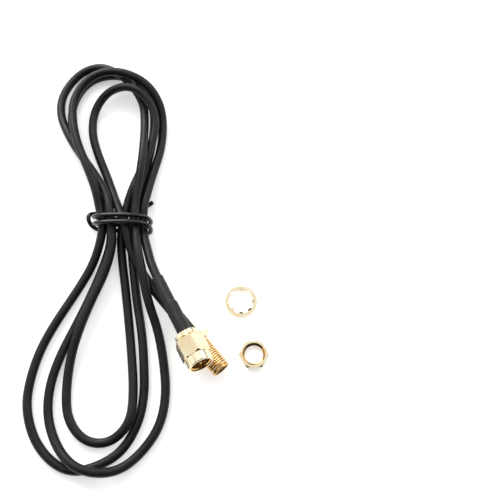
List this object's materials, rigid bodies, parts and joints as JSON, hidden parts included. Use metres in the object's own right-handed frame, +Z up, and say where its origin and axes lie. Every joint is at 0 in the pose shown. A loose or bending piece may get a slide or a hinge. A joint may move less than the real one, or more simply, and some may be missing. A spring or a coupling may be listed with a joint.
{
  "type": "coaxial antenna extension cable",
  "caption": "Thin coaxial extension lead with a hex-nut screw plug and a threaded bulkhead jack, wound in a tied hank, with a loose toothed washer and hex nut.",
  "frame": {"origin": "on the surface that the lead lies on, under the middle of its box", "axes": "+Z up from the surface, +Y along the hank from its wide end to its narrow end, +X towards the connectors"},
  "size_m": [0.0734, 0.1364, 0.0178],
  "materials": {
    "jacket_pvc": "satin extruded black PVC",
    "tinned_braid": "woven tinned copper",
    "dielectric_pe": "milky solid polyethylene",
    "copper_conductor": "bright drawn copper-clad steel",
    "tie_plastic": "glossy black plastic over wire",
    "tie_steel": "bare galvanised wire",
    "gold_plate": "bright gold plate over machined brass",
    "gold_spring_plate": "gold plate over stamped spring bronze",
    "gold_contact": "gold-plated contact",
    "spring_bronze": "plain spring bronze",
    "ptfe": "turned white PTFE",
    "silicone": "soft red silicone",
    "heat_shrink": "satin black polyolefin heat shrink"
  },
  "bodies": {
    "root": {"cable_jacket": "jacket_pvc", "cable_braid": "tinned_braid", "cable_dielectric": "dielectric_pe", "cable_conductor": "copper_conductor", "twist_tie": "tie_plastic", "twist_tie_wire": "tie_steel", "plug_body": "gold_plate", "plug_retaining_ring": "spring_bronze", "plug_insulator": "ptfe", "plug_contact": "gold_contact", "plug_gasket": "silicone", "plug_crimp_ferrule": "gold_plate", "plug_heat_shrink": "heat_shrink", "jack_body": "gold_plate", "jack_insulator": "ptfe", "jack_contact": "gold_contact", "jack_crimp_ferrule": "gold_plate", "jack_heat_shrink": "heat_shrink"},
    "coupling_nut": {"plug_coupling_nut": "gold_plate"},
    "loose_washer": {"lock_washer": "gold_spring_plate"},
    "loose_nut": {"bulkhead_nut": "gold_plate"}
  },
  "joints": [
    {"name": "coupling_nut_spin", "type": "hinge", "parent": "root", "child": "coupling_nut", "pos_m": [0.01475, -0.03323, 0.01309], "axis": [0.451, -0.8737, 0.1822], "continuous": true},
    {"name": "loose_washer_lift", "type": "slide", "parent": "root", "child": "loose_washer", "axis": [0, 0, 1], "range_m": [0, 0.05]},
    {"name": "loose_nut_lift", "type": "slide", "parent": "root", "child": "loose_nut", "axis": [0, 0, 1], "range_m": [0, 0.05]}
  ]
}
